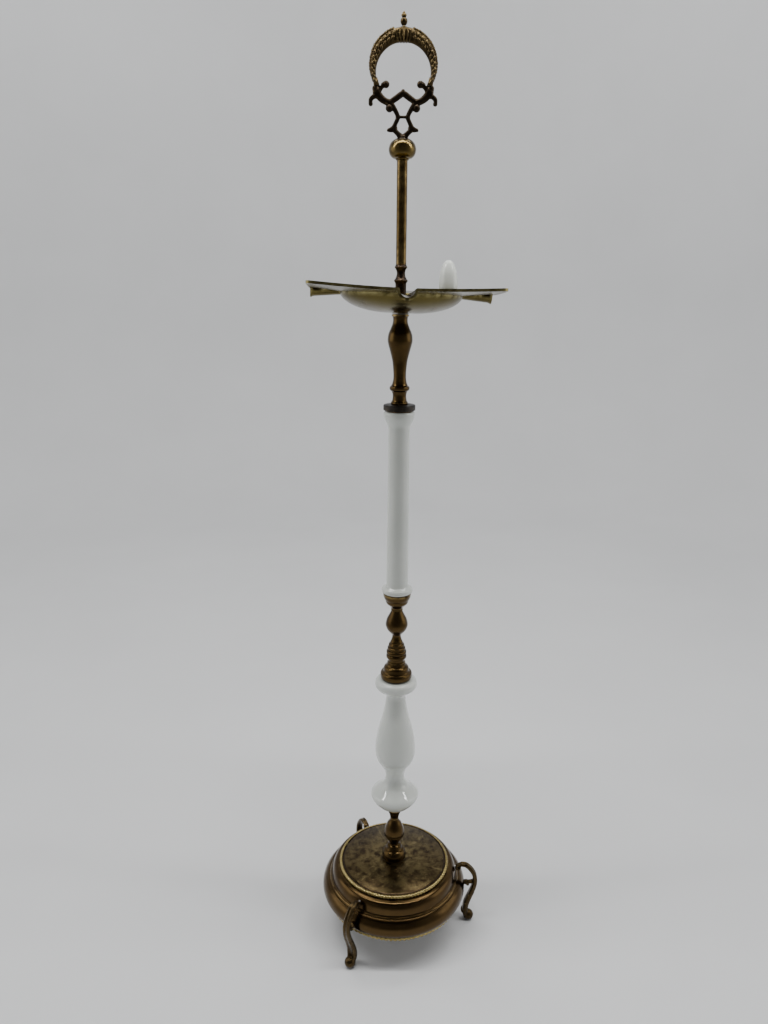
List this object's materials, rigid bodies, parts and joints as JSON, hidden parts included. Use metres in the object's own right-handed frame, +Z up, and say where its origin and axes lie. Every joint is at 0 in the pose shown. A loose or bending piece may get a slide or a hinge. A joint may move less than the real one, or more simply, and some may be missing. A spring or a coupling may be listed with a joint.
{
  "type": "floor-standing ashtray",
  "caption": "Smoking stand: porcelain and brass column on a weighted base with scroll legs, under a turning square ash tray with a ring handle above.",
  "frame": {"origin": "on the floor, under the centre of the column", "axes": "+Z up along the column, the ring handle in the XZ plane, -Y towards the front where two of the tray's channels and the front leg are seen, +X to the right"},
  "size_m": [0.1791, 0.1717, 0.9103],
  "materials": {
    "aged_brass": "satin",
    "tray_brass": "polished",
    "dark_bronze": "satin",
    "porcelain": "gloss",
    "blackened_metal": "satin",
    "steel": "satin",
    "iron": "matte",
    "cork": "matte"
  },
  "bodies": {
    "stand": {"ball_knop": "aged_brass", "base_cover": "steel", "base_drum": "aged_brass", "base_plate": "aged_brass", "base_skirt_ring": "aged_brass", "base_step": "aged_brass", "base_weight": "iron", "bell_cap": "aged_brass", "bracket": "dark_bronze", "finial": "aged_brass", "leg_back": "aged_brass", "leg_back_lower_screw": "steel", "leg_back_upper_screw": "steel", "leg_front": "aged_brass", "leg_front_lower_screw": "steel", "leg_front_upper_screw": "steel", "leg_right": "aged_brass", "leg_right_lower_screw": "steel", "leg_right_upper_screw": "steel", "lower_baluster": "aged_brass", "middle_baluster": "aged_brass", "porcelain_tube": "porcelain", "post": "aged_brass", "ring_handle": "aged_brass", "rod_nut": "steel", "rod_washer": "steel", "spool_collar": "dark_bronze", "tie_rod": "steel", "tray_lower_washer": "steel", "tray_upper_washer": "steel", "tube_cap": "blackened_metal", "tube_cup": "aged_brass", "tube_lower_cushion": "cork", "tube_upper_cushion": "cork", "upper_baluster": "aged_brass", "vase": "porcelain", "vase_cup": "aged_brass", "vase_lower_cushion": "cork", "vase_upper_cushion": "cork"},
    "tray": {"tray": "tray_brass"},
    "press": {"press_foot": "aged_brass", "press_knob": "porcelain"}
  },
  "joints": [
    {"name": "tray_turn", "type": "hinge", "parent": "stand", "child": "tray", "pos_m": [0, 0, 0.66765], "axis": [0, 0, 1], "continuous": true},
    {"name": "press_lift", "type": "slide", "parent": "tray", "child": "press", "axis": [-0.0218, -0.0678, 0.9975], "range_m": [0, 0.05]}
  ]
}
